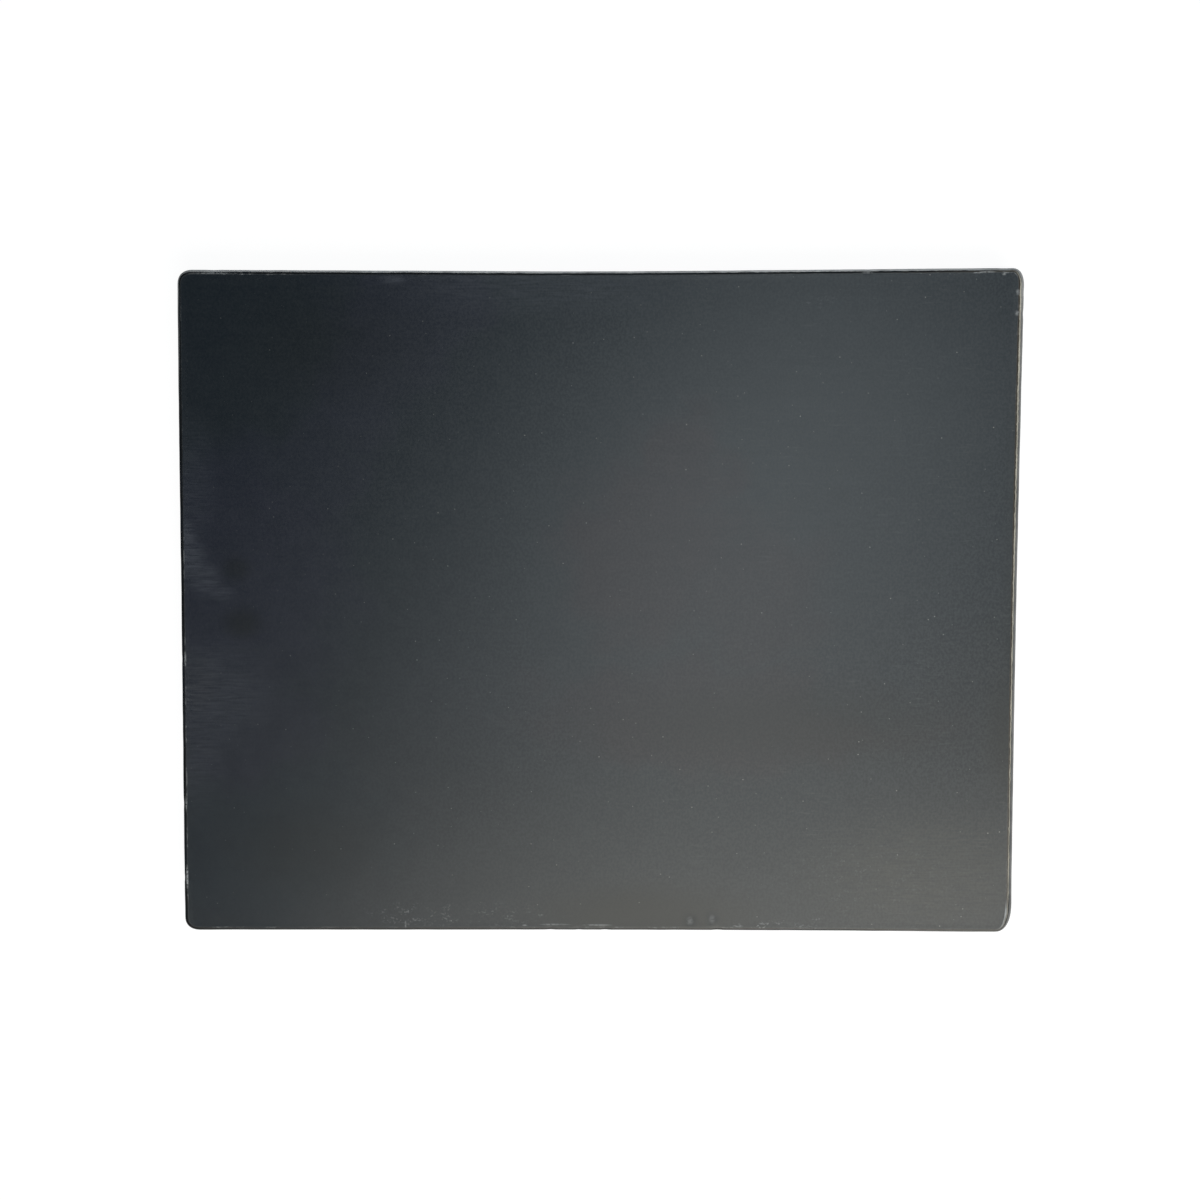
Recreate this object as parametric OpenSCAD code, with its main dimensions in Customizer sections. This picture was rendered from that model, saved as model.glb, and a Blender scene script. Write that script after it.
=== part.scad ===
// Wooden serving board: a panel of staves glued edge to edge, pinned inside with dowels,
// cut to a rectangle with hand-rounded corners and eased edges.
// X runs along the grain, Y across the staves and Z up. The origin is under the middle of the board.

/* [Board] */
// Length along the grain
board_length = 378; // [300:1:460]
// Width across the staves
board_width = 300; // [280:1:360]
// Thickness of the staves
board_thickness = 19; // [17:0.5:25]

/* [Edges] */
// Radius that eases the edges round both faces
edge_radius = 2; // [1:0.25:3]
// Corner radius at the front left, seen from above
corner_front_left = 5.5; // [4:0.5:12]
// Corner radius at the front right, worn the roundest
corner_front_right = 8; // [4:0.5:12]
// Corner radius at the back left
corner_back_left = 6.5; // [4:0.5:12]
// Corner radius at the back right
corner_back_right = 6; // [4:0.5:12]

/* [Dowels] */
// Dowels in each glue joint
dowels_per_joint = 3; // [2:1:4]
// Diameter of a dowel
dowel_diameter = 8; // [6:0.5:8]
// Length of a dowel, half in each stave
dowel_length = 30; // [24:1:30]
// Distance from the board's end to the outer dowels
dowel_end_margin = 50; // [40:1:70]
// Shift of the dowels to either side of an even row, so that those of next joints don't line up
dowel_stagger = 10; // [6:1:15]
// Play of a dowel in its bore, on the diameter
dowel_play = 0.1; // [0.1:0.05:0.3]
// Room left for glue past each end of a dowel
glue_room = 1; // [0.5:0.25:1.5]
// Bevel on the ends of a dowel
dowel_bevel = 1; // [0.5:0.25:1.5]
// Glue flutes along a dowel
flute_count = 8; // [6:1:12]
// Radius of a flute
flute_radius = 0.4; // [0.3:0.05:0.5]

/* [Hidden] */
$fn = 48;

// Staves from front to back, and the dowels of the glue joint behind each but the last
STAVES = [
    "front_edge_stave", "stave_2", "stave_3", "stave_4",
    "stave_5", "stave_6", "stave_7", "back_edge_stave",
];
stave_count = len(STAVES);
joint_count = stave_count - 1;
DOWELS = [for (joint = [1:joint_count]) str("dowels_staves_", joint, "_", joint + 1)];

stave_width = board_width / stave_count;
half_length = board_length / 2;
half_width = board_width / 2;
dowel_spacing = (board_length - 2 * dowel_end_margin) / (dowels_per_joint - 1);
bore_length = dowel_length + 2 * glue_room;

paint_colour = "#3d4143";
dowel_colour = "#d2b48c";

// Place across the board of a glue joint, numbered from the front
function joint_y(joint) = joint * stave_width - half_width;

// Place of a dowel along its joint; next joints lean opposite ways
function dowel_x(joint, number) =
    dowel_end_margin + number * dowel_spacing - half_length
    + (joint % 2 == 0 ? dowel_stagger : -dowel_stagger);

// Section through a bar that is eased on its far side
module eased_section(reach) {
    square([reach - edge_radius, board_thickness]);
    translate([0, edge_radius])
        square([reach, board_thickness - 2 * edge_radius]);
    for (height = [edge_radius, board_thickness - edge_radius])
        translate([reach - edge_radius, height])
            circle(edge_radius);
}

// Bar that runs along +Y, eased on its +X side
module eased_bar(reach, run) {
    translate([0, run, 0])
        rotate([90, 0, 0])
            linear_extrude(run)
                eased_section(reach);
}

// Quarter disc with an eased rim, between +X and +Y
module eased_corner(radius) {
    rotate_extrude(angle = 90)
        eased_section(radius);
}

// Stave eased at both of its ends, from y = 0 to its width
module inner_blank() {
    for (side = [0, 1])
        mirror([side, 0, 0])
            eased_bar(half_length, stave_width);
}

// Outer stave, whose free side is at y = 0, with a rounded corner at each end
module edge_blank(left_radius, right_radius) {
    translate([left_radius - half_length, stave_width, 0])
        rotate(-90)
            eased_bar(stave_width, board_length - left_radius - right_radius);
    for (end = [[1, left_radius], [0, right_radius]])
        mirror([end[0], 0, 0])
            translate([half_length - end[1], end[1], 0]) {
                eased_bar(end[1], stave_width - end[1]);
                rotate(-90)
                    eased_corner(end[1]);
            }
}

// Stave's outer shape, where it lies in the board
module stave_blank(index) {
    if (index == 0)
        translate([0, -half_width, 0])
            edge_blank(corner_front_left, corner_front_right);
    else if (index == joint_count)
        mirror([0, 1, 0])
            translate([0, -half_width, 0])
                edge_blank(corner_back_left, corner_back_right);
    else
        translate([0, joint_y(index), 0])
            inner_blank();
}

// Places its child at each dowel of a joint, lying across the joint
module at_dowels(joint) {
    for (number = [0:dowels_per_joint - 1])
        translate([dowel_x(joint, number), joint_y(joint), board_thickness / 2])
            rotate([90, 0, 0])
                children();
}

// Stave with the bores for the dowels of the joints on either side of it
module stave(index) {
    color(paint_colour)
        difference() {
            stave_blank(index);
            for (joint = [index, index + 1])
                if (joint > 0 && joint < stave_count)
                    at_dowels(joint)
                        cylinder(d = dowel_diameter + dowel_play, h = bore_length, center = true);
        }
}

// Fluted dowel with bevelled ends, centred and standing along Z
module dowel() {
    radius = dowel_diameter / 2;
    half = dowel_length / 2;
    difference() {
        rotate_extrude()
            polygon([
                [0, -half], [radius - dowel_bevel, -half], [radius, dowel_bevel - half],
                [radius, half - dowel_bevel], [radius - dowel_bevel, half], [0, half],
            ]);
        for (flute = [0:flute_count - 1])
            rotate(flute * 360 / flute_count)
                translate([radius, 0, 0])
                    cylinder(r = flute_radius, h = bore_length, center = true);
    }
}

// Dowels of one glue joint
module dowels(joint) {
    color(dowel_colour)
        at_dowels(joint)
            dowel();
}

for (index = [0:joint_count])
    stave(index);
for (joint = [1:joint_count])
    dowels(joint);
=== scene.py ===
"""A painted wooden serving board of edge-glued staves, seen from above on a white studio floor."""

import math
from collections import namedtuple

import bmesh
import bpy
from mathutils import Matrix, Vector, geometry, noise


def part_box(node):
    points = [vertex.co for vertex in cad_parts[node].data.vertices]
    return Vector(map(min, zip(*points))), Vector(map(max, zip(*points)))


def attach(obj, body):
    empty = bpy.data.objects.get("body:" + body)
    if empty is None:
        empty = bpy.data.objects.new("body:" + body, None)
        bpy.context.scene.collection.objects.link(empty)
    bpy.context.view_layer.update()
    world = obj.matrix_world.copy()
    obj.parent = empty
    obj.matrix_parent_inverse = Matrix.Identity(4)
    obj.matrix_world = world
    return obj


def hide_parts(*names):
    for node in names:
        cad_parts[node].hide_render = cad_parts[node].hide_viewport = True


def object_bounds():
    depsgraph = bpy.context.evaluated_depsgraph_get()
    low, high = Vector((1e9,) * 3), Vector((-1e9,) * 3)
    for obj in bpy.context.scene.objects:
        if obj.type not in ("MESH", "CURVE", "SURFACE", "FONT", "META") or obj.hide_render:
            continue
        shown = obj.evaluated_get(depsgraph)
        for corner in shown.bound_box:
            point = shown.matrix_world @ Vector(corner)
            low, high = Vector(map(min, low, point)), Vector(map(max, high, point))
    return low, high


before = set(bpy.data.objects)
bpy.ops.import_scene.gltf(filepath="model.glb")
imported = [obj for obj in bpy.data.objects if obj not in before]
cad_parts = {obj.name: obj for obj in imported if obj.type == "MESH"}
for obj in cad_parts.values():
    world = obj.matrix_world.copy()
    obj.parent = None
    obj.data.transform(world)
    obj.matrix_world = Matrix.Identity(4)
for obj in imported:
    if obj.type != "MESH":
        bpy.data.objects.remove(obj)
cad_low, cad_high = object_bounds()

MM = 0.001


def front_to_back(names):
    return sorted(names, key=lambda name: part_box(name)[0].y)


# The frame's own sizes, in mm, and its pieces
HALF_LENGTH = cad_high.x / MM
HALF_WIDTH = cad_high.y / MM
THICKNESS = cad_high.z / MM
DOWEL_SETS = front_to_back(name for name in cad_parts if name.startswith("dowels"))
STAVES = front_to_back(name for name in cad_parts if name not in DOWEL_SETS)
SEAMS = [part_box(name)[1].y / MM for name in STAVES[:-1]]

# The rim as it was sawn and sanded: how far each side lies inside the frame's box, in mm, at five even
# places, front and back from left to right, left and right from front to back
SIDE_INSETS = {
    "front": (0.5, 0.8, 1.1, 1.1, 0.65),
    "right": (0.85, 1.0, 0.95, 0.55, 0.0),
    "back": (0.8, 1.15, 1.5, 0.8, 0.0),
    "left": (0.15, 0.35, 0.65, 0.8, 1.05),
}
# Each corner's two sides, in the order in which the rim meets them
CORNER_SIDES = {
    "front_left": ("left", "front"),
    "front_right": ("front", "right"),
    "back_right": ("right", "back"),
    "back_left": ("back", "left"),
}
# Corner roundings in plan, in mm, along X and along Y
CORNER_RADII = {
    "front_left": (7.2, 6.3),
    "front_right": (7.8, 13.5),
    "back_right": (5.8, 8.5),
    "back_left": (6.9, 6.7),
}
CORNER_FULLNESS = 2.4       # 2 is an ellipse, and more is squarer
# Rounding between the upper face and each side, in mm: its reach in over the face and down the side
EDGE_ROUNDINGS = {"front": (1.3, 1.3), "right": (2.9, 2.9), "back": (2.0, 2.0), "left": (1.4, 0.45)}
LOW_EDGE_RADIUS = 1.6       # rounding between sides and underside, mm
TIGHTEST_RADIUS = 0.6       # no corner of an inner ring gets sharper than this, mm
FACE_RINGS = (3.0, 1.2)     # rings on each face beside the rounding, by their distance from it, mm
FACE_DIP = 0.1              # depth of the faces' slow hollows, mm
HOLLOW_SIZE = (70.0, 45.0)  # of those hollows, along X and along Y, mm
HOLLOW_LAYER = 3.7          # layer of the noise that they are taken from
RIM_RIPPLE = 0.12           # unevenness of the hand-sanded rim, mm
RIPPLE_SIZE = 9.0           # of that unevenness along the rim, mm
RIPPLE_HEIGHT = 2.0         # and down its section, in steps of the profile
BORE_MARGIN = 0.05          # room between dowel and bore, mm
BORE_END_ROOM = 1.0         # glue room past each dowel's end, mm

# A point's profile says where it lies on the rim's section: 0 to 1 over the upper edge, 1 to 2 down the
# side and 2 to 3 over the lower edge. It goes on inward over the faces, below 0 on the upper one and
# above 3 on the lower one.
UPPER_CORE_PROFILE = -2.0
LOWER_CORE_PROFILE = 5.0
DENT_PROFILES = (-1.0, 1.5)  # dents reach no further

# How fine the mesh is
CORE_CELL = 4.0         # mm
FINE_STEPS = 4          # rim steps to one core cell
RIM_ZONE = 18.0         # width of the zone between the core grid and the rim, mm
CORNER_STEPS = 6        # rim steps on each straight run beside a corner's arc
ARC_STEPS = 12
EDGE_STEPS = 12
SIDE_STEPS = 5
LOW_EDGE_STEPS = 6
BORE_STEPS = 24

# How the staves' meshes are cut, closed and shaded
ON_SEAM = 0.01          # a point this near to a seam lies on it, mm
ON_TOP_LINE = 0.05      # a point this near to a dowel's highest level lies on its top line, mm
MERGE_WITHIN = 0.0001   # points of a glue face this near to each other are one, mm
FILL_INSIDE = 1         # makes the triangulation fill only what its lines enclose
SHARP_ANGLE = math.radians(35)  # edges that bend more than this look sharp
BARE_SLOT = 1           # a stave's second material, bare wood

# Paint lost along the upper edge, 0 to 1, at the same five places on each side as the insets
BARE_WEAR = {
    "front": (0.1, 0.0, 0.0, 0.0, 0.3),
    "right": (0.7, 0.75, 0.8, 0.9, 1.0),
    "back": (0.05, 0.0, 0.0, 0.0, 0.5),
    "left": (0.1, 0.05, 0.0, 0.0, 0.05),
}
# Strength of a pale grey band over the outer part of the upper edge, 0 to 1, likewise
PALE_GREY_STRENGTH = {
    "front": (0.0, 0.0, 0.0, 0.0, 0.2),
    "right": (0.18, 0.18, 0.18, 0.18, 0.25),
    "back": (0.65, 0.9, 0.9, 0.9, 0.8),
    "left": (0.0, 0.0, 0.0, 0.0, 0.2),
}
CHIP_WEAR = {
    "front": (0.35, 0.1, 0.3, 0.15, 0.1),
    "right": (0.2, 0.05, 0.05, 0.1, 0.3),
    "back": (0.7, 0.15, 0.15, 0.3, 1.0),
    "left": (0.5, 0.35, 0.35, 0.12, 0.2),
}
# Dents in the upper edge: x, y, reach and depth, mm
DENTS = [
    (188.2, 139.1, 2.2, 0.2),
    (188.2, 129.9, 2.6, 0.25),
    (180.0, 149.4, 2.4, 0.2),
    (119.0, 148.6, 2.0, 0.15),
    (-172.0, 148.4, 3.0, 0.2),
    (-188.6, -25.0, 2.4, 0.15),
    (-188.8, -91.0, 3.0, 0.2),
    (-188.8, -125.0, 2.2, 0.2),
    (-22.0, -148.8, 2.6, 0.15),
    (-9.0, -148.8, 2.2, 0.15),
    (3.0, -148.8, 2.4, 0.2),
    (54.0, -148.6, 3.2, 0.2),
]


def lerp(start, end, share):
    return start + (end - start) * share


def clamp(value, low=0.0, high=1.0):
    return max(low, min(high, value))


def smooth_through(values, share):
    """The value at a share of the way along evenly spaced values, on a smooth curve through them."""
    last = len(values) - 1
    place = clamp(share) * last
    start = min(int(place), last - 1)
    part = place - start
    before, near, far, after = (values[clamp(k, 0, last)] for k in range(start - 1, start + 3))
    bend = 2 * before - 5 * near + 4 * far - after
    twist = 3 * (near - far) + after - before
    return near + 0.5 * part * (far - before + part * (bend + part * twist))


def along_side(table, side, x, y):
    """A side's table read beside the point (x, y)."""
    if side in ("front", "back"):
        return smooth_through(table[side], (x / HALF_LENGTH + 1) / 2)
    return smooth_through(table[side], (y / HALF_WIDTH + 1) / 2)


# The core grid in the middle of each face


def core_rows():
    """The core grid's rows in Y, with a row on every seam."""
    stops = [RIM_ZONE - HALF_WIDTH] + SEAMS + [HALF_WIDTH - RIM_ZONE]
    rows = [stops[0]]
    for start, end in zip(stops, stops[1:]):
        cells = round((end - start) / CORE_CELL)
        rows += [lerp(start, end, (k + 1) / cells) for k in range(cells)]
    return rows


def core_columns():
    span = HALF_LENGTH - RIM_ZONE
    cells = round(2 * span / CORE_CELL)
    return [lerp(-span, span, k / cells) for k in range(cells + 1)]


ROWS = core_rows()
COLUMNS = core_columns()


# The rim's rings, each with its points anticlockwise from the front left corner


def fine_stops(stops):
    """The inner stations along a core edge: every stop, and the fine steps between stops."""
    fine = []
    for start, end in zip(stops, stops[1:]):
        fine += [lerp(start, end, k / FINE_STEPS) for k in range(FINE_STEPS)]
    return fine[1:]


def corner_runs(next_radius, this_radius, next_inset, this_inset):
    """Points round a corner as (distance from the next side, distance from this side)."""
    run_on = max(next_radius - next_inset, TIGHTEST_RADIUS)
    run_off = max(this_radius - this_inset, TIGHTEST_RADIUS)
    shares = [k / CORNER_STEPS for k in range(CORNER_STEPS + 1)]
    turns = [math.pi / 2 * k / ARC_STEPS for k in range(ARC_STEPS)]
    power = 2 / CORNER_FULLNESS
    bends = [(1 - math.sin(turn) ** power, 1 - math.cos(turn) ** power) for turn in turns]
    before = [(lerp(RIM_ZONE, next_inset + run_on, share), this_inset) for share in shares[:-1]]
    arc = [(next_inset + run_on * on, this_inset + run_off * off) for on, off in bends]
    after = [(next_inset, lerp(this_inset + run_off, RIM_ZONE, share)) for share in shares]
    return before + arc + after


def in_plan(distances):
    """The point that lies at these distances from two sides that meet."""
    x = distances["left"] - HALF_LENGTH if "left" in distances else HALF_LENGTH - distances["right"]
    y = distances["front"] - HALF_WIDTH if "front" in distances else HALF_WIDTH - distances["back"]
    return x, y


def ring(insets):
    """One ring's points in plan before the rim's unevenness, as (x, y, this side, next side, share)."""
    columns = fine_stops(COLUMNS)
    rows = fine_stops(ROWS)
    straights = {
        "front": [(x, insets["front"] - HALF_WIDTH) for x in columns],
        "right": [(HALF_LENGTH - insets["right"], y) for y in rows],
        "back": [(x, HALF_WIDTH - insets["back"]) for x in reversed(columns)],
        "left": [(insets["left"] - HALF_LENGTH, y) for y in reversed(rows)],
    }
    points = []
    for corner, (this_side, next_side) in CORNER_SIDES.items():
        radius_x, radius_y = CORNER_RADII[corner]
        radii = (radius_x, radius_y) if next_side in ("left", "right") else (radius_y, radius_x)
        runs = corner_runs(*radii, insets[next_side], insets[this_side])
        for k, (from_next, from_this) in enumerate(runs):
            x, y = in_plan({next_side: from_next, this_side: from_this})
            points.append((x, y, this_side, next_side, k / (len(runs) - 1)))
        points += [(x, y, next_side, next_side, 1.0) for x, y in straights[next_side]]
    return points


def section(part, share, rounding):
    """A point of the rim's section as (inset, height, profile). On a face, share is a distance in mm."""
    turn = share * math.pi / 2
    reach, depth = rounding
    if part == "upper_face":
        return reach + share, THICKNESS, -share / FACE_RINGS[0]
    if part == "upper_edge":
        return reach * (1 - math.sin(turn)), THICKNESS - depth * (1 - math.cos(turn)), share
    if part == "side":
        return 0.0, lerp(THICKNESS - depth, LOW_EDGE_RADIUS, share), 1 + share
    if part == "lower_edge":
        return LOW_EDGE_RADIUS * (1 - math.cos(turn)), LOW_EDGE_RADIUS * (1 - math.sin(turn)), 2 + share
    return LOW_EDGE_RADIUS + share, 0.0, 3 + share / FACE_RINGS[0]


def section_rows():
    """The rim's section from the upper face down to the underside, one row for each ring."""
    rows = [("upper_face", gap) for gap in FACE_RINGS]
    rows += [("upper_edge", k / EDGE_STEPS) for k in range(EDGE_STEPS + 1)]
    rows += [("side", k / SIDE_STEPS) for k in range(1, SIDE_STEPS)]
    rows += [("lower_edge", k / LOW_EDGE_STEPS) for k in range(LOW_EDGE_STEPS + 1)]
    return rows + [("lower_face", gap) for gap in reversed(FACE_RINGS)]


def uneven(x, y):
    """A point in plan moved in from the frame's box to where the real rim runs."""
    share = (x / HALF_LENGTH + 1) / 2
    left = along_side(SIDE_INSETS, "left", x, y)
    right = along_side(SIDE_INSETS, "right", x, y)
    front_share = clamp((SEAMS[0] - y) / (SEAMS[0] + HALF_WIDTH))
    back_share = clamp((y - SEAMS[-1]) / (HALF_WIDTH - SEAMS[-1]))
    moved_y = (y + front_share * along_side(SIDE_INSETS, "front", x, y)
               - back_share * along_side(SIDE_INSETS, "back", x, y))
    return x + lerp(left, -right, share), moved_y


def face_dip(x, y):
    """How far a face lies below its highest level: slow, shallow hollows."""
    slow = noise.noise(Vector((x / HOLLOW_SIZE[0], y / HOLLOW_SIZE[1], HOLLOW_LAYER)))
    return FACE_DIP * clamp(0.5 + 0.5 * slow)


def dented(x, y, z, profile):
    """A point of the upper edge pushed in where a dent reaches it."""
    first, last = DENT_PROFILES
    for dent_x, dent_y, reach, depth in DENTS:
        distance = math.hypot(x - dent_x, y - dent_y) / reach
        if distance < 1 and first < profile < last:
            push = depth * (1 - distance ** 2) ** 2 * clamp(last - profile)
            if HALF_LENGTH - abs(dent_x) < HALF_WIDTH - abs(dent_y):
                x -= math.copysign(push, x)
            else:
                y -= math.copysign(push, y)
            z -= push
    return x, y, z


class Skin:
    """The board's painted surface in one piece: points in mm, their profile and wear, and faces."""

    def __init__(self):
        self.points = []
        self.profile = []
        self.wear = []
        self.faces = []
        rings = [self.add_ring(part, amount) for part, amount in section_rows()]
        upper = self.add_core(THICKNESS, UPPER_CORE_PROFILE)
        lower = self.add_core(0.0, LOWER_CORE_PROFILE)
        for inner, outer in zip(rings, rings[1:]):
            for k in range(len(inner)):
                self.faces.append((inner[k - 1], outer[k - 1], outer[k], inner[k]))
        self.join_core(upper, rings[0])
        self.join_core(lower, rings[-1])

    def add_point(self, x, y, z, profile, wear):
        self.points.append(Vector((x, y, z)))
        self.profile.append(profile)
        self.wear.append(wear)
        return len(self.points) - 1

    def add_ring(self, part, amount):
        """Adds the ring at one row of the rim's section, and returns its points' numbers."""
        cuts = {side: section(part, amount, rounding) for side, rounding in EDGE_ROUNDINGS.items()}
        profile = cuts["front"][2]
        indices = []
        for x, y, this_side, next_side, share in ring({side: cut[0] for side, cut in cuts.items()}):
            wear = [lerp(along_side(table, this_side, x, y), along_side(table, next_side, x, y), share)
                    for table in (BARE_WEAR, PALE_GREY_STRENGTH, CHIP_WEAR)]
            z = lerp(cuts[this_side][1], cuts[next_side][1], share)
            if part == "upper_face":
                z -= face_dip(x, y)
            if part == "lower_face":
                z += face_dip(x, y)
            place = Vector((x / RIPPLE_SIZE, y / RIPPLE_SIZE, profile / RIPPLE_HEIGHT))
            pull = 1 - RIM_RIPPLE * (0.5 + 0.5 * noise.noise(place)) / HALF_WIDTH
            moved_x, moved_y = uneven(x, y)
            on_seam = any(abs(y - seam) < ON_SEAM for seam in SEAMS)
            moved_y *= 1 if on_seam else pull
            indices.append(self.add_point(*dented(moved_x * pull, moved_y, z, profile), profile, wear))
        return indices

    def add_core(self, height, profile):
        """Adds the core grid of the face at a height, and returns its points' numbers row by row."""
        grid = []
        for y in ROWS:
            row = []
            for x in COLUMNS:
                z = height - face_dip(x, y) if height else face_dip(x, y)
                row.append(self.add_point(*uneven(x, y), z, profile, (0, 0, 0)))
            grid.append(row)
        for lower, upper in zip(grid, grid[1:]):
            for k in range(1, len(lower)):
                self.faces.append((lower[k - 1], lower[k], upper[k], upper[k - 1]))
        return grid

    def join_core(self, grid, rim):
        """Fills the zone between a core grid and the innermost ring round it."""
        sides = [grid[0], [row[-1] for row in grid], grid[-1][::-1], [row[0] for row in grid[::-1]]]
        corner_count = 2 * CORNER_STEPS + ARC_STEPS
        at = 0
        for nodes in sides:
            for k in range(at, at + corner_count):
                self.faces.append((nodes[0], rim[k], rim[k + 1]))
            at += corner_count
            for near, far in zip(nodes, nodes[1:]):
                run = [rim[(at + k) % len(rim)] for k in range(FINE_STEPS + 1)]
                self.faces.append((near, *run, far))
                at += FINE_STEPS

    def stave_of(self, face):
        middle = sum(self.points[k].y for k in face) / len(face)
        return sum(middle > seam for seam in SEAMS)


# Staves cut from the skin, with their glue faces and bores


def dowels_at(dowel_set):
    """Where one joint's dowels lie, as (x, z, bore radius) in mm, and where their bores end in Y."""
    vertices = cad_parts[dowel_set].data.vertices
    low, high = (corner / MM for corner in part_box(dowel_set))
    diameter = high.z - low.z
    middle_z = (high.z + low.z) / 2
    tops = sorted(vert.co.x / MM for vert in vertices if abs(vert.co.z / MM - high.z) < ON_TOP_LINE)
    lines = []
    for x in tops:
        if not lines or x - lines[-1][-1] > 2 * diameter:
            lines.append([])
        lines[-1].append(x)
    places = [((line[0] + line[-1]) / 2, middle_z, diameter / 2 + BORE_MARGIN) for line in lines]
    return places, (low.y - BORE_END_ROOM, high.y + BORE_END_ROOM)


def add_bore(bm, x, z, radius, seam, bore_end):
    """A blind round bore that opens at the seam. Returns the edges of its mouth."""
    turns = [2 * math.pi * k / BORE_STEPS for k in range(BORE_STEPS)]
    circle = [(x + radius * math.cos(turn), z + radius * math.sin(turn)) for turn in turns]
    mouth = [bm.verts.new((at_x, seam, at_z)) for at_x, at_z in circle]
    end = [bm.verts.new((at_x, bore_end, at_z)) for at_x, at_z in circle]
    for k in range(BORE_STEPS):
        bm.faces.new((mouth[k - 1], mouth[k], end[k], end[k - 1])).material_index = BARE_SLOT
    bm.faces.new(end).material_index = BARE_SLOT
    return [bm.edges.get((mouth[k - 1], mouth[k])) for k in range(BORE_STEPS)]


def cap_joint(bm, seam, dowel_set, at_back):
    """Closes a stave at a seam in its front or back with a glue face and the bores for the dowels."""
    lines = [edge for edge in bm.edges
             if edge.is_boundary and all(abs(vert.co.y - seam) < ON_SEAM for vert in edge.verts)]
    places, (front_end, back_end) = dowels_at(dowel_set)
    bore_end = front_end if at_back else back_end
    for x, z, radius in places:
        lines += add_bore(bm, x, z, radius, seam, bore_end)
    corners = list(dict.fromkeys(vert for line in lines for vert in line.verts))
    number = {vert: k for k, vert in enumerate(corners)}
    flat = [vert.co.xz for vert in corners]
    pairs = [[number[vert] for vert in line.verts] for line in lines]
    triangles, origins = geometry.delaunay_2d_cdt(flat, pairs, [], FILL_INSIDE, MERGE_WITHIN)[2:4]
    for triangle in triangles:
        made = [corners[origins[k][0]] for k in triangle]
        middle = sum((vert.co.xz for vert in made), Vector((0, 0))) / 3
        if all((middle - Vector((x, z))).length > radius for x, z, radius in places):
            bm.faces.new(made).material_index = BARE_SLOT


def stave_mesh(skin, index):
    """One stave as a closed mesh in metres: its share of the painted skin, glue faces and bores."""
    bm = bmesh.new()
    profile = bm.verts.layers.float.new("profile")
    wear = bm.verts.layers.float_vector.new("wear")
    made = {}
    for face in skin.faces:
        if skin.stave_of(face) != index:
            continue
        for k in face:
            if k not in made:
                made[k] = bm.verts.new(skin.points[k])
                made[k][profile] = skin.profile[k]
                made[k][wear] = skin.wear[k]
        bm.faces.new([made[k] for k in face])
    if index > 0:
        cap_joint(bm, SEAMS[index - 1], DOWEL_SETS[index - 1], at_back=False)
    if index < len(STAVES) - 1:
        cap_joint(bm, SEAMS[index], DOWEL_SETS[index], at_back=True)
    bmesh.ops.recalc_face_normals(bm, faces=bm.faces)
    for face in bm.faces:
        face.smooth = True
    for edge in bm.edges:
        edge.smooth = edge.calc_face_angle() < SHARP_ANGLE
    bmesh.ops.scale(bm, vec=(MM, MM, MM), verts=bm.verts)
    mesh = bpy.data.meshes.new(f"{STAVES[index]}_painted")
    bm.to_mesh(mesh)
    bm.free()
    return mesh


# Tones of the paint, its wear and its marks, linear RGB
PAINT = (0.0050, 0.0080, 0.0128)
# painted shade, for places where less sheen falls
PAINTED_SHADE_TONE = (0.0038, 0.0062, 0.0088)
COOL_PAINT = (0.0092, 0.0088, 0.0200)
WARM_PAINT = (0.0135, 0.0042, 0.0076)
GREEN_PAINT = (0.0020, 0.0068, 0.0125)
# paler paint, for mottling and for the paling towards the right
PALER_PAINT = (0.0115, 0.0180, 0.0235)
BRUSH_MARK = (0.0095, 0.0125, 0.0160)
CHALK = (0.056, 0.064, 0.084)
# warm dust, also painted light at the front right
WARM_DUST_AND_LIGHT = (0.062, 0.059, 0.048)
HAIRLINE = (0.062, 0.066, 0.070)
DUST_SPECK = (0.2, 0.2, 0.19)
# stained over knots, and painted shade where less sheen falls
STAIN_AND_SHADE = (0.0010, 0.0024, 0.0023)
# painted shade: a near-black line over the upper edge
EDGE_SHADE_TONE = (0.0018, 0.0018, 0.0017)
# a pale grey band over the outer part of the upper edge, strongest at the back
PALE_GREY_TONE = (0.68, 0.68, 0.67)
STAINED_WOOD = (0.030, 0.022, 0.013)
BARE_WOOD = (0.47, 0.44, 0.38)
FILLER = (0.30, 0.31, 0.32)
LOW_EDGE_WOOD = (0.3, 0.27, 0.22)
JOINT_LINE = (0.002, 0.002, 0.002)
PORE = (0.004, 0.0045, 0.005)

# Tones of the bare woods, linear RGB
PINE_PALE = (0.62, 0.45, 0.26)
PINE_RING = (0.46, 0.28, 0.13)
PINE_FIBRE = (0.38, 0.24, 0.12)
BEECH_PALE = (0.60, 0.42, 0.27)
BEECH_DARK = (0.48, 0.31, 0.18)
BEECH_FLECK = (0.33, 0.19, 0.10)

# Noise patterns, with their scale in spots to a metre. A mask made of a pattern goes over from the first
# to the second result between two levels of the noise.
Pattern = namedtuple(
    "Pattern", "scale stretch detail roughness levels results",
    defaults=((1, 1, 1), 2.0, 0.5, (0.3, 0.7), (0.0, 1.0)),
)
STROKES = Pattern(420.0, stretch=(0.035, 1, 1), detail=3.0)
GRAIN = Pattern(800.0, stretch=(1.15, 0.9, 1), detail=1.0, roughness=0.7)
MOTTLE = Pattern(130.0, detail=3.0, roughness=0.6)
SWIRL = Pattern(45.0, detail=3.0)
WISPS = Pattern(1050.0, stretch=(0.09, 1, 1), detail=3.0, roughness=0.65, results=(0.2, 1.35))
HAIRS = Pattern(1000.0, stretch=(0.1, 1, 1), levels=(0.58, 0.74))
BRUSHED = Pattern(45.0, levels=(0.45, 0.6))
WANDER = Pattern(500.0, detail=3.0, levels=(0.2, 0.8), results=(-0.035, 0.035))
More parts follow.
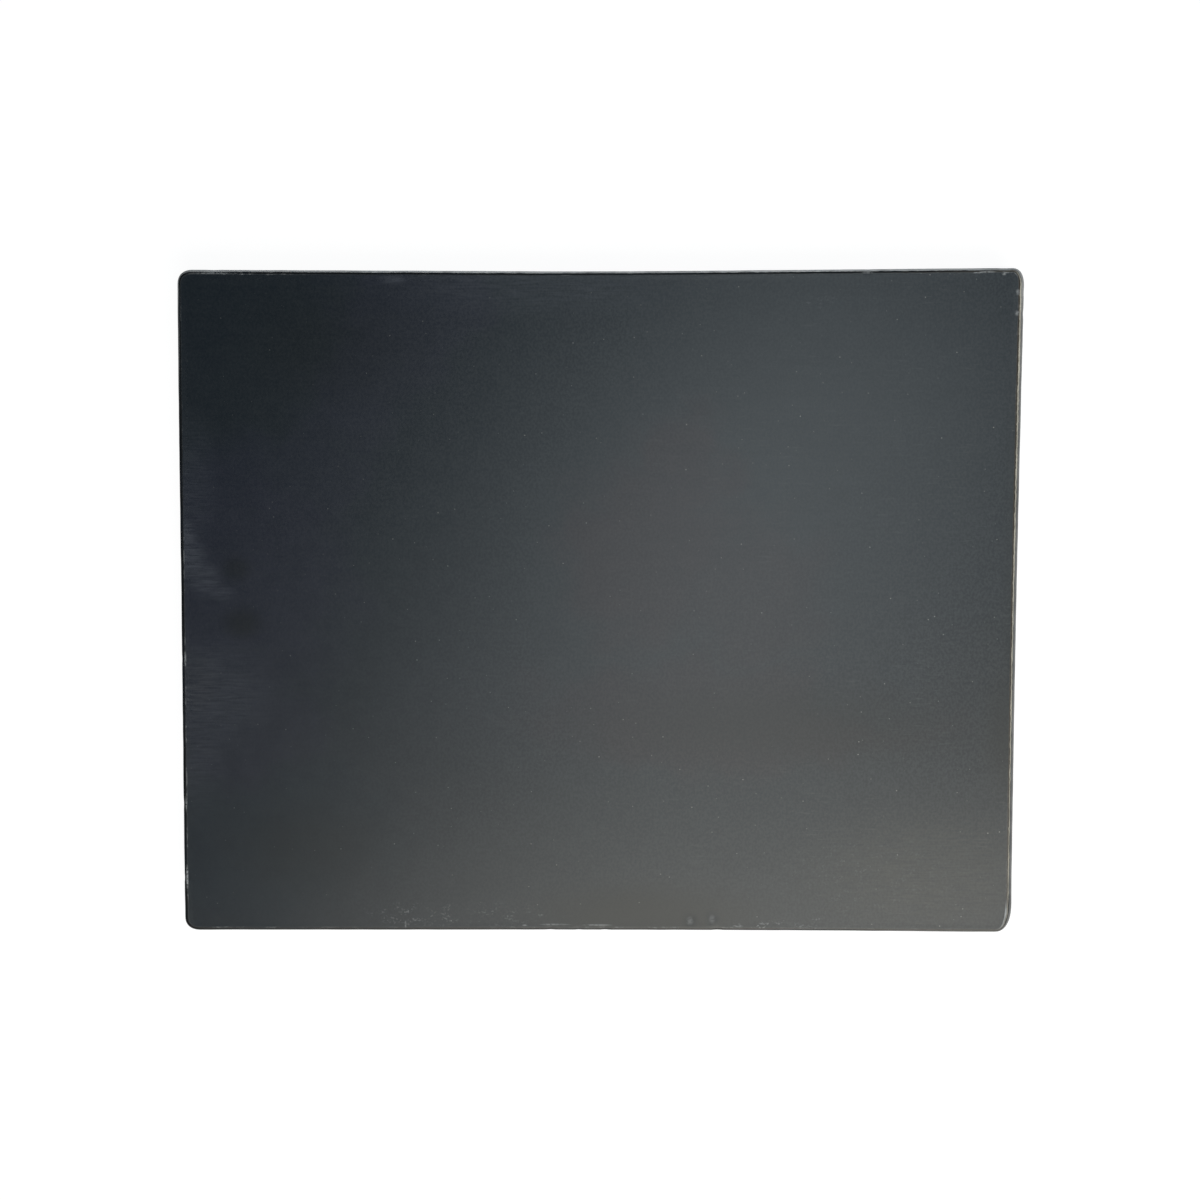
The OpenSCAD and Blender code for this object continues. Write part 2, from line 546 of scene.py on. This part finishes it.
BREAKS = Pattern(130.0, detail=3.0, levels=(0.3, 0.6), results=(0.6, 1.0))
DASHES = Pattern(110.0, detail=6.0, roughness=0.75, levels=(0.52, 0.64), results=(0.12, 1.0))
# breaks up the painted shade line over the upper edge
EDGE_SHADE_BREAKS = Pattern(40.0, levels=(0.35, 0.55), results=(0.55, 1.0))
CRUMBS = Pattern(1000.0, stretch=(0.8, 1, 1))
CLUSTERS = Pattern(260.0, stretch=(0.7, 1, 1), levels=(0.46, 0.62))
PORES = Pattern(1300.0, stretch=(0.025, 1, 1), detail=3.0, roughness=0.7, levels=(0.5, 0.7))
PINE_RINGS = Pattern(260.0, stretch=(0.04, 1, 1))
PINE_FIBRES = Pattern(2200.0, stretch=(0.03, 1, 1))
BEECH_GRAIN = Pattern(1400.0, stretch=(1, 0.06, 1), detail=3.0)
BEECH_FLECKS = Pattern(2600.0, stretch=(1, 0.18, 1), detail=1.0, levels=(0.62, 0.7))

# Levels between which nearly all, most and the middle of a noise lie, and the middle of a coloured one
ALL_NOISE = (0.2, 0.8)
MOST_NOISE = (0.3, 0.7)
MIDDLE_NOISE = (0.35, 0.65)
MIDDLE_COLOUR = (0.5, 0.5, 0.5)

# The paint's colour: shares of other tones and of painted shade in it, from the lowest to the highest
# noise
CLOUD_WANDER = 50.0                # how far the clouds' outlines wander, mm
CLOUD_SHARE = (0.7, 1.0)
BRUSH_SHARE = (0.0, 0.12)
MOTTLE_SHARE = (0.0, 0.1)
MOTTLE_LIFT = (-0.0010, 0.0010)    # added to the colour
# What grows from left to right: where along X it starts and stops growing, mm, and its values there
# the paint made paler towards the right
PALER_RIGHTWARD = (-180.0, 80.0, 0.22, 0.4)
GRAIN_LIFT = (-180.0, 60.0, 0.0010, 0.0066)  # added to the colour and taken from it
HAIR_SHARE = (-80.0, 120.0, 0.03, 0.26)
SPECK_SHARE = (-180.0, 100.0, 0.3, 1.0)

# Dust specks, one at most in each cell of a net
SPECK_CELLS = 170.0                # to a metre
SPECK_PICK = (0.5, 1.0)            # range of a cell's own number over which its speck grows
SPECK_RADIUS = (0.0, 0.06)         # in cells
SPECK_RIM = (0.0, 0.03)            # soft rim, in cells
SPECK_SHUFFLE = 37.0               # makes a speck's strength independent of its size
SPECK_RARITY = 1.6                 # the higher, the fewer strong specks

# Where things lie on the rim's section, as profiles at which they start, are full, fade and end
# painted shade: the dark line over the upper edge
EDGE_SHADE_BAND = (-0.1, 0.02, 0.9, 1.0)
# where the pale grey band lies
PALE_GREY_BAND = (0.26, 0.37, 0.8, 0.96)
STAINED_BAND = (-0.08, 0.0, 0.12, 0.18)
FLAKE_BAND = (-0.16, -0.1, -0.02, 0.06)
RUBBED_BAND = (-0.13, -0.05, 0.05, 0.13)
LOW_BAND = (2.15, 2.35, 2.6, 2.85)
SIDE_BAND = (0.5, 0.9, 2.1, 2.5)
FACE_END = (0.1, -0.2)             # the upper face's marks fade in from the first to the second
CHIP_END = (1.2, 0.8)              # chips and scuffs too
BARE_START = (0.11, 0.17)          # inner side of the line of bare wood
BARE_END = (0.01, 0.06)            # its outer side, past its width
BARE_WIDTH = 0.3                   # its width at full wear
MUCH_BARE = (0.3, 0.8)             # wear from which the painted shade line over the upper edge gives way to bare wood
EDGE_SHADE_KEPT = (1.0, 0.4)            # what is left of that line
LOW_SHARE = 0.5                    # wear of the lower edge
CHIP_CRUMBS = (0.3, 0.55)          # noise levels of the crumbs that make up a chip
SCUFF_CRUMBS = (0.5, 0.66)         # and of the fewer ones in a scuff

# Sides: pores, and joint lines where the staves end
JOINT_ENDS = (3.2, 2.2)            # distances from the frame's ends where joint lines fade in, mm
JOINT_HALF_WIDTH = (0.35, 0.1)     # of a joint line, with its soft rim and without, mm
JOINT_SHARE = 0.7
PORE_SHARE = 0.5

# The paint's roughness and relief
SHEEN = (0.375, 0.39)              # roughness along the brush strokes
GRAIN_SHEEN = (-0.02, 0.02)        # what the grain adds to it
DULLNESS = 0.35                    # what haze, lost paint and the pale grey band add to it
RELIEF = 0.006                     # height of the grain, mm
STROKE_RELIEF = 0.8                # height of the strokes, as a share of the grain's
PIT_RELIEF = -10.0                 # height of pores and joint lines, likewise

# Bare woods
PINE_RING_COUNT = 9.0              # rings over the whole range of the noise
PINE_RING_BAND = (0.1, 0.6, 0.85, 1.0)
PINE_FIBRE_SHARE = 0.3
PINE_ROUGHNESS = (0.6, 0.75)
BEECH_FLECK_SHARE = 0.6
BEECH_ROUGHNESS = (0.5, 0.62)

# Places on the upper face: x, y, length and width in mm, and strength
PLACE_FADE = 1.2                   # a place fades out at this share of its size
PLACE_SOLID = 0.2                  # and is at full strength within this one
CLOUD_SOLID = 0.5                  # or within this one, for clouds of other tones and of painted shade
# Where the paint is bluer, browner and greener, and painted shade, blacker where less sheen falls
COOL_PLACES = [
    (-158.0, 12.0, 110.0, 130.0, 1.0),
    (-162.0, -50.0, 80.0, 90.0, 0.8),
    (-128.0, 62.0, 46.0, 70.0, 0.7),
    (-106.0, 92.0, 50.0, 60.0, 0.8),
    (-92.0, 118.0, 70.0, 50.0, 0.9),
    (-78.0, 138.0, 84.0, 40.0, 0.9),
]
# painted shade: darker where less sheen falls, at the back left, along the front and down the right edge
PAINTED_SHADE_PLACES = [
    (-165.0, 125.0, 130.0, 120.0, 1.0),
    (18.0, -142.0, 70.0, 16.0, 1.0),
    (184.0, -45.0, 34.0, 100.0, 0.7),
]
WARM_PLACES = [
    (40.0, 62.0, 50.0, 60.0, 1.0),
    (22.0, 22.0, 90.0, 90.0, 1.0),
    (68.0, 5.0, 76.0, 80.0, 0.8),
    (60.0, -50.0, 200.0, 56.0, 0.9),
]
GREEN_PLACES = [
    (125.0, -39.0, 66.0, 34.0, 0.8),
    (-131.0, -105.0, 110.0, 60.0, 1.0),
    (-160.0, -125.0, 70.0, 50.0, 0.8),
]
# Cloudy with chalk, wax and handling
HAZE_PLACES = [
    (-187.0, 30.0, 16.0, 22.0, 0.32),
    (-184.0, 20.0, 18.0, 24.0, 0.36),
    (-178.0, 11.0, 18.0, 18.0, 0.28),
    (-171.0, 5.0, 16.0, 8.0, 0.2),
    (-178.0, -40.0, 66.0, 58.0, 0.17),
    (-184.0, -66.0, 34.0, 70.0, 0.14),
    (-182.0, 54.0, 22.0, 70.0, 0.12),
    (-92.0, 144.5, 14.0, 5.0, 0.3),
    (-22.0, 142.0, 146.0, 30.0, 0.18),
    (-37.5, 139.0, 2.0, 14.0, 0.25),
    (-30.0, -20.5, 16.0, 5.0, 0.05),
    (-40.0, -27.0, 14.0, 8.0, 0.06),
    (-47.0, -38.0, 9.0, 16.0, 0.06),
    (-49.5, -52.0, 7.0, 20.0, 0.06),
    (-46.5, -66.0, 7.0, 14.0, 0.05),
    (-30.0, 61.5, 11.0, 6.0, 0.08),
    (73.0, 48.5, 9.0, 9.0, 0.08),
    (66.0, 53.0, 12.0, 5.0, 0.05),
    (137.5, 16.0, 3.0, 57.0, 0.05),
    (132.0, 8.0, 120.0, 120.0, 0.04),
    (-45.0, -38.0, 110.0, 70.0, 0.04),
    (42.0, -144.5, 8.0, 8.0, 0.45),
    (52.0, -143.5, 8.0, 8.0, 0.4),
]
# Covered in warm dust; the first, at the front right, is also painted light, lifting where the warm
# sheen is brightest
DUST_AND_LIGHT_PLACES = [
    (148.0, -122.0, 130.0, 64.0, 0.23),
    (-182.0, -37.0, 24.0, 30.0, 0.08),
]
# Darker: two over knots under the paint, two patches, and four painted shade where less sheen falls
STAIN_AND_SHADE_PLACES = [
    (-163.0, 16.0, 16.0, 14.0, 0.5),
    (-160.8, -8.7, 20.0, 17.0, 0.6),
    (-118.0, 116.0, 100.0, 60.0, 0.28),
    (-131.0, -110.0, 84.0, 48.0, 0.32),
    (22.0, -143.0, 124.0, 38.0, 0.75),
    (82.0, -54.0, 190.0, 44.0, 0.42),
    (186.0, -58.0, 28.0, 66.0, 0.5),
    (187.5, 30.0, 14.0, 250.0, 0.35),
]
# Chipped down to the pale filler
CHIP_PLACES = [
    (185.7, 139.1, 2.2, 3.0, 0.6),
    (185.6, 129.9, 2.4, 3.0, 0.6),
    (179.4, 147.3, 2.2, 2.0, 0.7),
    (172.0, 148.0, 9.0, 0.9, 0.8),
    (-186.8, -25.0, 1.1, 9.0, 0.6),
    (-187.4, -91.0, 1.0, 8.0, 0.6),
    (-187.4, -124.9, 1.2, 12.0, 1.0),
    (-172.0, 147.4, 26.0, 0.8, 0.6),
    (119.0, 147.6, 6.0, 0.9, 0.6),
    (-88.0, -146.3, 1.0, 4.0, 0.5),
    (-33.5, -146.6, 3.0, 0.9, 0.5),
    (-26.5, -141.8, 3.0, 0.8, 0.35),
    (-19.8, -146.2, 15.0, 0.9, 0.45),
    (-0.5, -146.4, 15.0, 0.9, 0.5),
    (41.6, -144.4, 3.6, 4.4, 0.25),
    (51.7, -143.5, 3.2, 4.6, 0.25),
    (63.5, -146.7, 5.0, 1.2, 0.5),
]
# Scuffed in crumbs
SCUFF_PLACES = [
    (-80.0, -142.0, 60.0, 13.0, 0.28),
    (-44.0, -142.0, 40.0, 13.0, 0.2),
    (80.0, -146.5, 40.0, 5.0, 0.5),
    (100.0, -145.0, 9.0, 7.0, 0.6),
    (120.0, -124.0, 110.0, 50.0, 0.09),
    (152.0, 147.3, 32.0, 3.0, 0.3),
    (98.0, 135.0, 28.0, 8.0, 0.12),
]
# Rubbed in a line just inside the edge
RUBBED_PLACES = [
    (185.0, -142.0, 12.0, 16.0, 1.0),
]


# Shader nodes


def plug(tree, socket, value):
    """Links a socket to another one, or sets it to a value of its own."""
    if isinstance(value, bpy.types.NodeSocket):
        tree.links.new(value, socket)
    elif socket.type == "RGBA":
        socket.default_value = (*value, 1.0)
    else:
        socket.default_value = value


def node(tree, kind, inputs=None, **settings):
    """A new shader node with its settings made and its inputs set or linked."""
    made = tree.nodes.new(f"ShaderNode{kind}")
    for name, value in settings.items():
        setattr(made, name, value)
    for key, value in (inputs or {}).items():
        plug(tree, made.inputs[key], value)
    return made


def calc(tree, operation, *values):
    return node(tree, "Math", dict(enumerate(values)), operation=operation).outputs[0]


def times(tree, *masks):
    product = masks[0]
    for mask in masks[1:]:
        product = calc(tree, "MULTIPLY", product, mask)
    return product


def strongest(tree, *masks):
    highest = masks[0]
    for mask in masks[1:]:
        highest = calc(tree, "MAXIMUM", highest, mask)
    return highest


def vector(tree, operation, *values):
    return node(tree, "VectorMath", dict(enumerate(values)), operation=operation).outputs["Vector"]


def along(tree, position, axis):
    return node(tree, "SeparateXYZ", {0: position}).outputs[axis]


def blend(tree, share, under, over):
    return node(tree, "Mix", {0: share, 6: under, 7: over}, data_type="RGBA").outputs[2]


def rise(tree, value, span, results=(0.0, 1.0)):
    """A smooth step from the first to the second result as the value crosses the span."""
    keys = ("Value", "From Min", "From Max", "To Min", "To Max")
    inputs = dict(zip(keys, (value, *span, *results)))
    return node(tree, "MapRange", inputs, interpolation_type="SMOOTHSTEP").outputs["Result"]


def band(tree, value, limits):
    """A mask that starts at the first limit, is full from the second to the third, and then ends."""
    start, full, fade, end = limits
    return times(tree, rise(tree, value, (start, full)), rise(tree, value, (fade, end), (1.0, 0.0)))


def across(tree, position, ramp):
    """A value that changes from left to right as the ramp says."""
    start, end, left, right = ramp
    return rise(tree, along(tree, position, "X"), (start * MM, end * MM), (left, right))


def noise_of(tree, position, pattern):
    """A pattern's noise node."""
    inputs = {
        "Vector": vector(tree, "MULTIPLY", position, pattern.stretch),
        "Scale": pattern.scale,
        "Detail": pattern.detail,
        "Roughness": pattern.roughness,
    }
    return node(tree, "TexNoise", inputs)


def spots(tree, position, pattern):
    return noise_of(tree, position, pattern).outputs["Fac"]


def mask_of(tree, position, pattern):
    return rise(tree, spots(tree, position, pattern), pattern.levels, pattern.results)


def patches(tree, position, places, solid=PLACE_SOLID):
    """A mask of soft-edged ovals on the upper face, each at full strength over its solid share."""
    ovals = []
    for x, y, length, width, strength in places:
        shifted = vector(tree, "SUBTRACT", position, (x * MM, y * MM, 0))
        scaled = vector(tree, "MULTIPLY", shifted, (2 / (length * MM), 2 / (width * MM), 0))
        reach = node(tree, "VectorMath", {0: scaled}, operation="LENGTH").outputs["Value"]
        ovals.append(rise(tree, reach, (PLACE_FADE, solid), (0.0, strength)))
    return strongest(tree, *ovals)


def new_material(name):
    material = bpy.data.materials.new(name)
    material.use_nodes = True
    tree = material.node_tree
    position = node(tree, "TexCoord").outputs["Object"]
    return material, tree, tree.nodes["Principled BSDF"], position


# Materials


def tones_and_shade(tree, position, strength):
    """The plain paint, with clouds in other tones, and painted shade where less sheen falls."""
    swirl = noise_of(tree, position, SWIRL).outputs["Color"]
    swirl = vector(tree, "SUBTRACT", swirl, MIDDLE_COLOUR)
    reach = (CLOUD_WANDER * MM, CLOUD_WANDER * MM, 0.0)
    wandering = vector(tree, "MULTIPLY_ADD", swirl, reach, position)
    tone = PAINT
    for places, cloud_tone_and_shade in (
        # painted shade where less sheen falls
        (PAINTED_SHADE_PLACES, PAINTED_SHADE_TONE),
        (COOL_PLACES, COOL_PAINT),
        (WARM_PLACES, WARM_PAINT),
        (GREEN_PLACES, GREEN_PAINT),
    ):
        clouds = times(tree, patches(tree, wandering, places, CLOUD_SOLID), strength)
        tone = blend(tree, clouds, tone, cloud_tone_and_shade)
    return tone


def paint_ground(tree, position, strokes, grain):
    """The paint's colour: near greys in slow clouds with painted shade among them, mottling, faint brush
    marks, grain, and paler towards the right.
    """
    mottle = spots(tree, position, MOTTLE)
    tone = tones_and_shade(tree, position, rise(tree, mottle, MOST_NOISE, CLOUD_SHARE))
    tone = blend(tree, rise(tree, strokes, MOST_NOISE, BRUSH_SHARE), tone, BRUSH_MARK)
    tone = blend(tree, rise(tree, mottle, MIDDLE_NOISE, MOTTLE_SHARE), tone, PALER_PAINT)
    tone = blend(tree, across(tree, position, PALER_RIGHTWARD), tone, PALER_PAINT)
    cloud = rise(tree, mottle, MOST_NOISE, MOTTLE_LIFT)
    speckle = rise(tree, grain, MOST_NOISE, (-1.0, 1.0))
    lift = calc(tree, "MULTIPLY_ADD", speckle, across(tree, position, GRAIN_LIFT), cloud)
    return vector(tree, "ADD", tone, lift)


def face_marks(tree, position, on_face, tone):
    """Haze, dust and painted light, hairlines, stained patches and painted shade on the upper face.
    Returns the colour and the mask of haze.
    """
    wisps = mask_of(tree, position, WISPS)
    haze = times(tree, patches(tree, position, HAZE_PLACES), wisps, on_face)
    tone = blend(tree, haze, tone, CHALK)
    # warm dust, and painted light at the front right
    dust = times(tree, patches(tree, position, DUST_AND_LIGHT_PLACES), wisps, on_face)
    tone = blend(tree, dust, tone, WARM_DUST_AND_LIGHT)
    hairs = times(tree, mask_of(tree, position, HAIRS), mask_of(tree, position, BRUSHED))
    hairs = times(tree, hairs, across(tree, position, HAIR_SHARE), on_face)
    tone = blend(tree, hairs, tone, HAIRLINE)
    # knots under the paint, and painted shade where less sheen falls
    stains_and_shade = times(tree, patches(tree, position, STAIN_AND_SHADE_PLACES), on_face)
    return blend(tree, stains_and_shade, tone, STAIN_AND_SHADE), haze


def dust_specks(tree, position, on_face, tone):
    """Tiny pale specks of dust caught in the paint."""
    cells = node(tree, "TexVoronoi", {"Vector": position, "Scale": SPECK_CELLS}, voronoi_dimensions="2D")
    pick = node(tree, "SeparateColor", {0: cells.outputs["Color"]}).outputs["Blue"]
    radius = rise(tree, pick, SPECK_PICK, SPECK_RADIUS)
    dot = rise(tree, calc(tree, "SUBTRACT", radius, cells.outputs["Distance"]), SPECK_RIM)
    shuffled = calc(tree, "FRACT", calc(tree, "MULTIPLY", pick, SPECK_SHUFFLE))
    strength = calc(tree, "POWER", shuffled, SPECK_RARITY)
    specks = times(tree, dot, on_face, strength, across(tree, position, SPECK_SHARE))
    return blend(tree, specks, tone, DUST_SPECK)


def side_grain(tree, position, profile, tone):
    """Wood grain showing faintly through the paint of the sides, and the staves' joints in the short
    ones. Returns the colour and a depth for the relief."""
    on_sides = band(tree, profile, SIDE_BAND)
    ends = [(HALF_LENGTH - distance) * MM for distance in JOINT_ENDS]
    at_ends = rise(tree, calc(tree, "ABSOLUTE", along(tree, position, "X")), ends)
    pitch = (SEAMS[1] - SEAMS[0]) * MM
    from_seam = calc(tree, "PINGPONG", along(tree, position, "Y"), pitch / 2)
    joint = rise(tree, from_seam, [width * MM for width in JOINT_HALF_WIDTH])
    joint = times(tree, joint, at_ends, on_sides)
    pores = times(tree, mask_of(tree, position, PORES), on_sides)
    tone = blend(tree, times(tree, joint, JOINT_SHARE), tone, JOINT_LINE)
    tone = blend(tree, times(tree, pores, PORE_SHARE), tone, PORE)
    return tone, calc(tree, "ADD", pores, joint)


def edge_shade_line(tree, position, edge, bare_wear):
    """A mask of painted shade: a dark line over the upper edge."""
    left_over = rise(tree, bare_wear, MUCH_BARE, EDGE_SHADE_KEPT)
    return times(tree, band(tree, edge, EDGE_SHADE_BAND), mask_of(tree, position, EDGE_SHADE_BREAKS), left_over)


def bare_line(tree, edge, bare_wear, breaks):
    """A mask of the line of bare wood, which is wider the more the edge is worn."""
    past_width = calc(tree, "MULTIPLY_ADD", bare_wear, -BARE_WIDTH, edge)
    outer_side = rise(tree, past_width, BARE_END, (1.0, 0.0))
    return times(tree, rise(tree, edge, BARE_START), outer_side, bare_wear, breaks)


def chips_and_scuffs(tree, position, profile):
    """A mask of the chips and crumbly scuffs on the upper face and edge."""
    crumbs = spots(tree, position, CRUMBS)
    chips = times(tree, patches(tree, position, CHIP_PLACES), rise(tree, crumbs, CHIP_CRUMBS))
    scuffs = times(tree, patches(tree, position, SCUFF_PLACES), rise(tree, crumbs, SCUFF_CRUMBS))
    scuffs = times(tree, scuffs, mask_of(tree, position, CLUSTERS))
    return times(tree, strongest(tree, chips, scuffs), rise(tree, profile, CHIP_END))


def edge_wear(tree, position, profile, tone):
    """Paint lost along the edges, with painted shade and a pale grey band. Returns the colour and the
    mask of lost paint and band.
    """
    wear = node(tree, "Attribute", attribute_name="wear").outputs["Vector"]
    bare_wear, grey_band_share, chip_wear = node(tree, "SeparateXYZ", {0: wear}).outputs
    edge = calc(tree, "ADD", profile, mask_of(tree, position, WANDER))
    breaks = mask_of(tree, position, BREAKS)
    dashes = mask_of(tree, position, DASHES)
    # painted shade: a dark line over the upper edge
    thin = edge_shade_line(tree, position, edge, bare_wear)
    # a pale grey band over the outer part of the upper edge
    grey_band = times(tree, band(tree, edge, PALE_GREY_BAND), grey_band_share, breaks)
    stained = times(tree, band(tree, edge, STAINED_BAND), bare_wear)
    bare = bare_line(tree, edge, bare_wear, breaks)
    flakes = times(tree, band(tree, edge, FLAKE_BAND), chip_wear, dashes)
    rubbed = times(tree, band(tree, edge, RUBBED_BAND), patches(tree, position, RUBBED_PLACES), breaks)
    pale = strongest(tree, flakes, chips_and_scuffs(tree, position, profile), rubbed)
    low = times(tree, band(tree, edge, LOW_BAND), dashes, LOW_SHARE)
    for mask, worn_to in (
        # painted shade along the upper edge
        (thin, EDGE_SHADE_TONE),
        (grey_band, PALE_GREY_TONE),
        (stained, STAINED_WOOD),
        (bare, BARE_WOOD),
        (pale, FILLER),
        (low, LOW_EDGE_WOOD),
    ):
        tone = blend(tree, mask, tone, worn_to)
    return tone, strongest(tree, bare, grey_band, pale, low)


def paint():
    """Charcoal paint, brushed thin, with chalky marks, specks and worn edges."""
    material, tree, shader, position = new_material("charcoal_paint")
    profile = node(tree, "Attribute", attribute_name="profile").outputs["Fac"]
    on_face = rise(tree, profile, FACE_END)
    strokes = spots(tree, position, STROKES)
    grain = spots(tree, position, GRAIN)

    tone = paint_ground(tree, position, strokes, grain)
    tone, haze = face_marks(tree, position, on_face, tone)
    tone = dust_specks(tree, position, on_face, tone)
    tone, pits = side_grain(tree, position, profile, tone)
    tone, lost = edge_wear(tree, position, profile, tone)
    plug(tree, shader.inputs["Base Color"], tone)

    sheen = rise(tree, strokes, ALL_NOISE, SHEEN)
    sheen = calc(tree, "ADD", sheen, rise(tree, grain, ALL_NOISE, GRAIN_SHEEN))
    sheen = calc(tree, "MULTIPLY_ADD", strongest(tree, haze, lost), DULLNESS, sheen)
    plug(tree, shader.inputs["Roughness"], sheen)
    height = calc(tree, "MULTIPLY_ADD", strokes, STROKE_RELIEF, grain)
    height = calc(tree, "MULTIPLY_ADD", pits, PIT_RELIEF, height)
    bump = node(tree, "Bump", {"Height": height, "Distance": RELIEF * MM, "Strength": 1.0})
    plug(tree, shader.inputs["Normal"], bump.outputs["Normal"])
    return material


def pine():
    """Bare pine on the glue faces and in the bores."""
    material, tree, shader, position = new_material("bare_pine")
    rings = calc(tree, "MULTIPLY", spots(tree, position, PINE_RINGS), PINE_RING_COUNT)
    lines = band(tree, calc(tree, "FRACT", rings), PINE_RING_BAND)
    fibres = spots(tree, position, PINE_FIBRES)
    tone = blend(tree, lines, PINE_PALE, PINE_RING)
    tone = blend(tree, times(tree, fibres, PINE_FIBRE_SHARE), tone, PINE_FIBRE)
    plug(tree, shader.inputs["Base Color"], tone)
    plug(tree, shader.inputs["Roughness"], rise(tree, fibres, MOST_NOISE, PINE_ROUGHNESS))
    return material


def beech():
    """Beech for the dowels, with its short flecks along the grain."""
    material, tree, shader, position = new_material("beech")
    grain = spots(tree, position, BEECH_GRAIN)
    flecks = mask_of(tree, position, BEECH_FLECKS)
    tone = blend(tree, grain, BEECH_PALE, BEECH_DARK)
    tone = blend(tree, times(tree, flecks, BEECH_FLECK_SHARE), tone, BEECH_FLECK)
    plug(tree, shader.inputs["Base Color"], tone)
    plug(tree, shader.inputs["Roughness"], rise(tree, grain, MOST_NOISE, BEECH_ROUGHNESS))
    return material


def build_board():
    skin = Skin()
    painted = paint()
    bare = pine()
    for index, name in enumerate(STAVES):
        mesh = stave_mesh(skin, index)
        mesh.materials.append(painted)
        mesh.materials.append(bare)
        stave = bpy.data.objects.new(mesh.name, mesh)
        bpy.context.scene.collection.objects.link(stave)
        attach(stave, "root")
        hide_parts(name)
    dowel_wood = beech()
    for name in DOWEL_SETS:
        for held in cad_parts[name].material_slots:
            held.material = dowel_wood


# Studio, in metres and degrees, with tones in linear RGB
FLOOR_SIZE = 8.0
FLOOR_GREY = (0.8, 0.8, 0.8)
FLOOR_WHITE = (1.0, 1.0, 1.0)
FLOOR_GLOW = 1.1                   # strength of the white that the floor is seen in
FLOOR_GLOW_SHARE = 0.86            # the rest of it takes light and shadow
WALLS = (1.0, 1.0, 1.0)
CEILING = (0.02, 0.05, 0.09)
WALL_TOP = (0.1, 0.36)             # how far upward a view goes where walls turn into ceiling
# Soft lamps: name, centre, size, turn and radiance
PANELS = [
    ("overhead_panel", (0.165, 0.043, 1.0), (0.313, 0.556), -37.0, (3.70, 4.06, 4.12)),
    ("front_panel", (0.418, -1.0, 1.0), (1.259, 1.38), 5.9, (4.85, 4.68, 4.20)),
]
CAMERA_LENS = 50.0                 # mm
CAMERA_PLACE = (0.00685, 0.05155, 0.7668)
CAMERA_ANGLES = (-3.79, 0.49, 0.06)


def build_floor():
    """A plain white floor that keeps a faint shadow."""
    bpy.ops.mesh.primitive_plane_add(size=FLOOR_SIZE)
    floor = bpy.context.object
    floor.name = "floor"
    material = bpy.data.materials.new("white_floor")
    material.use_nodes = True
    tree = material.node_tree
    tree.nodes.clear()
    plain = node(tree, "BsdfDiffuse", {"Color": FLOOR_GREY}).outputs[0]
    glow = node(tree, "Emission", {"Color": FLOOR_WHITE, "Strength": FLOOR_GLOW}).outputs[0]
    white = node(tree, "MixShader", {0: FLOOR_GLOW_SHARE, 1: plain, 2: glow}).outputs[0]
    path = node(tree, "LightPath").outputs
    seen = calc(tree, "ADD", path["Is Camera Ray"], path["Is Glossy Ray"])
    seen = calc(tree, "ADD", seen, path["Is Transmission Ray"])
    surface = node(tree, "MixShader", {0: seen, 1: plain, 2: white}).outputs[0]
    node(tree, "OutputMaterial", {"Surface": surface})
    floor.data.materials.append(material)


def build_world():
    """Pale walls round a dark ceiling."""
    world = bpy.data.worlds.new("studio")
    world.use_nodes = True
    tree = world.node_tree
    upward = along(tree, node(tree, "TexCoord").outputs["Generated"], "Z")
    tone = blend(tree, rise(tree, upward, WALL_TOP), WALLS, CEILING)
    plug(tree, tree.nodes["Background"].inputs["Color"], tone)
    bpy.context.scene.world = world


def light_panel(name, centre, size, turn, radiance):
    """A soft rectangular lamp facing down, its face as bright as the radiance given."""
    brightest = max(radiance)
    light = bpy.data.lights.new(name, "AREA")
    light.shape = "RECTANGLE"
    light.size, light.size_y = size
    light.color = [part / brightest for part in radiance]
    light.energy = math.pi * brightest * size[0] * size[1]
    lamp = bpy.data.objects.new(name, light)
    lamp.location = centre
    lamp.rotation_euler.z = math.radians(turn)
    bpy.context.scene.collection.objects.link(lamp)


def build_studio():
    build_floor()
    build_world()
    for panel in PANELS:
        light_panel(*panel)
    bpy.context.scene.view_settings.view_transform = "Standard"


def build_camera():
    data = bpy.data.cameras.new("camera")
    data.lens = CAMERA_LENS
    camera = bpy.data.objects.new("camera", data)
    camera.location = CAMERA_PLACE
    camera.rotation_euler = [math.radians(angle) for angle in CAMERA_ANGLES]
    bpy.context.scene.collection.objects.link(camera)
    bpy.context.scene.camera = camera


build_board()
build_studio()
build_camera()
